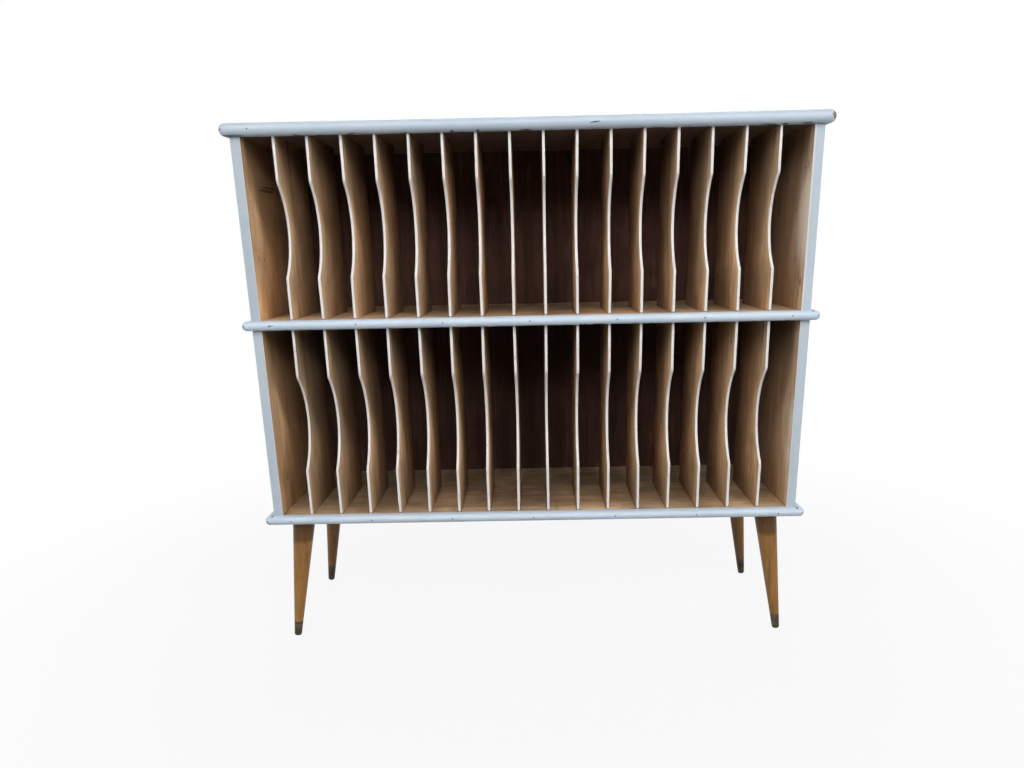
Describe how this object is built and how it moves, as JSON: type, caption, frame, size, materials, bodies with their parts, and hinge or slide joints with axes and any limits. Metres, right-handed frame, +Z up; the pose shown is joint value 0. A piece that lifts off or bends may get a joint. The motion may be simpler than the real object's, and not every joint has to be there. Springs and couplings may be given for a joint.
{
  "type": "record storage stand",
  "caption": "Two-tier open-fronted stand for records on edge, with scooped upright dividers, half-round lippings and four splayed tapered legs with ferrules.",
  "frame": {"origin": "on the floor, under the middle of the stand's overall width and depth", "axes": "+X along the width, to the viewer's right when facing the open front; the open front faces -Y; +Z up"},
  "size_m": [1.104, 0.333, 1.029],
  "materials": {
    "painted_wood": "satin paint, worn at the edges",
    "veneered_board": "satin",
    "divider_board": "satin",
    "back_board": "matte",
    "leg_wood": "satin varnish",
    "brass_ferrule": "dull, tarnished",
    "steel_fixing": "zinc plated",
    "dowel_wood": "bare"
  },
  "bodies": {
    "root": {"top_board": "veneered_board", "middle_board": "veneered_board", "bottom_board": "veneered_board", "top_front_lipping": "painted_wood", "middle_front_lipping": "painted_wood", "bottom_front_lipping": "painted_wood", "top_end_lippings": "painted_wood", "middle_end_lippings": "painted_wood", "bottom_end_lippings": "painted_wood", "upper_left_side": "painted_wood", "upper_right_side": "painted_wood", "lower_left_side": "painted_wood", "lower_right_side": "painted_wood", "upper_back": "back_board", "lower_back": "back_board", "upper_divider_01": "divider_board", "upper_divider_02": "divider_board", "upper_divider_03": "divider_board", "upper_divider_04": "divider_board", "upper_divider_05": "divider_board", "upper_divider_06": "divider_board", "upper_divider_07": "divider_board", "upper_divider_08": "divider_board", "upper_divider_09": "divider_board", "upper_divider_10": "divider_board", "upper_divider_11": "divider_board", "upper_divider_12": "divider_board", "upper_divider_13": "divider_board", "upper_divider_14": "divider_board", "upper_divider_15": "divider_board", "upper_divider_16": "divider_board", "lower_divider_01": "divider_board", "lower_divider_02": "divider_board", "lower_divider_03": "divider_board", "lower_divider_04": "divider_board", "lower_divider_05": "divider_board", "lower_divider_06": "divider_board", "lower_divider_07": "divider_board", "lower_divider_08": "divider_board", "lower_divider_09": "divider_board", "lower_divider_10": "divider_board", "lower_divider_11": "divider_board", "lower_divider_12": "divider_board", "lower_divider_13": "divider_board", "lower_divider_14": "divider_board", "lower_divider_15": "divider_board", "lower_divider_16": "divider_board", "front_left_leg": "leg_wood", "front_right_leg": "leg_wood", "back_left_leg": "leg_wood", "back_right_leg": "leg_wood", "leg_ferrules": "brass_ferrule", "leg_plates": "steel_fixing", "hanger_bolts": "steel_fixing", "plate_screws": "steel_fixing", "lipping_pins": "steel_fixing", "back_pins": "steel_fixing", "carcass_dowels": "dowel_wood"}
  },
  "joints": []
}
